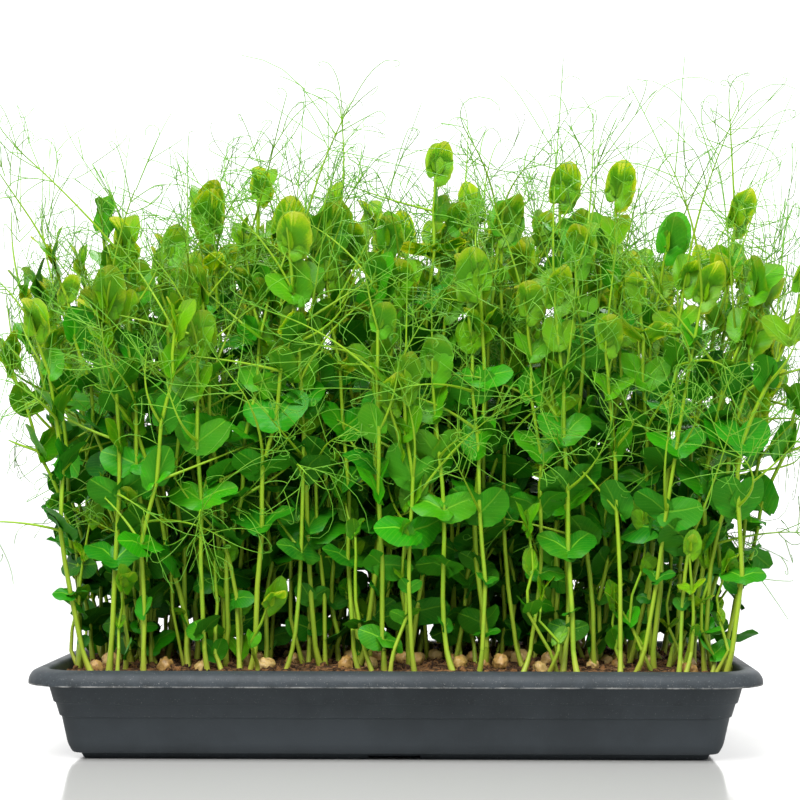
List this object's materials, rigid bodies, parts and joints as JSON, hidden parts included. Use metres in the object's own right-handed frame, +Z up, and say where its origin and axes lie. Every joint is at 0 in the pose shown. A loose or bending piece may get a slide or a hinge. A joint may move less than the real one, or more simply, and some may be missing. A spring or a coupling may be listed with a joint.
{
  "type": "tray of pea shoot microgreens",
  "caption": "Shallow rimmed plastic seed tray of compost with a dense stand of young pea shoots: stems, clasping stipules and branched tendrils.",
  "frame": {"origin": "centre of the tray's flat underside", "axes": "+X along the tray's long side, +Y towards the back, +Z up"},
  "size_m": [0.457, 0.2705, 0.3709],
  "materials": {
    "tray_plastic": "charcoal moulded plastic with a fine matte grain and small pale scuffs on the rim",
    "compost": null,
    "pea": null,
    "stem": "smooth pale yellow-green stem, whitish at its foot",
    "leaf": "bright green leaf with a soft sheen and light veins, thin enough to let light through"
  },
  "bodies": {
    "root": {"compost_bed": "compost", "pea_1": "pea", "pea_10": "pea", "pea_11": "pea", "pea_12": "pea", "pea_13": "pea", "pea_2": "pea", "pea_3": "pea", "pea_4": "pea", "pea_5": "pea", "pea_6": "pea", "pea_7": "pea", "pea_8": "pea", "pea_9": "pea", "shoot_back_1": "leaf", "shoot_back_2": "leaf", "shoot_back_3": "leaf", "shoot_back_4": "leaf", "shoot_back_5": "leaf", "shoot_back_6": "leaf", "shoot_front_10": "leaf", "shoot_front_1_stem": "stem", "shoot_front_1_stipules_1": "leaf", "shoot_front_1_stipules_2": "leaf", "shoot_front_1_stipules_3": "leaf", "shoot_front_1_stipules_4": "leaf", "shoot_front_2_stem": "stem", "shoot_front_2_stipules_1": "leaf", "shoot_front_2_stipules_2": "leaf", "shoot_front_2_stipules_3": "leaf", "shoot_front_2_stipules_4": "leaf", "shoot_front_3_stem": "stem", "shoot_front_3_stipules_1": "leaf", "shoot_front_3_stipules_2": "leaf", "shoot_front_3_stipules_3": "leaf", "shoot_front_3_stipules_4": "leaf", "shoot_front_4_stem": "stem", "shoot_front_4_stipules_1": "leaf", "shoot_front_4_stipules_2": "leaf", "shoot_front_4_stipules_3": "leaf", "shoot_front_4_stipules_4": "leaf", "shoot_front_4_stipules_5": "leaf", "shoot_front_5": "leaf", "shoot_front_6": "leaf", "shoot_front_7": "leaf", "shoot_front_8": "leaf", "shoot_front_9": "leaf", "shoot_inner_1": "leaf", "shoot_inner_10": "leaf", "shoot_inner_2": "leaf", "shoot_inner_3": "leaf", "shoot_inner_4": "leaf", "shoot_inner_5": "leaf", "shoot_inner_6": "leaf", "shoot_inner_7": "leaf", "shoot_inner_8": "leaf", "shoot_inner_9": "leaf", "shoot_left_1": "leaf", "shoot_right_1": "leaf", "tray": "tray_plastic"}
  },
  "joints": []
}
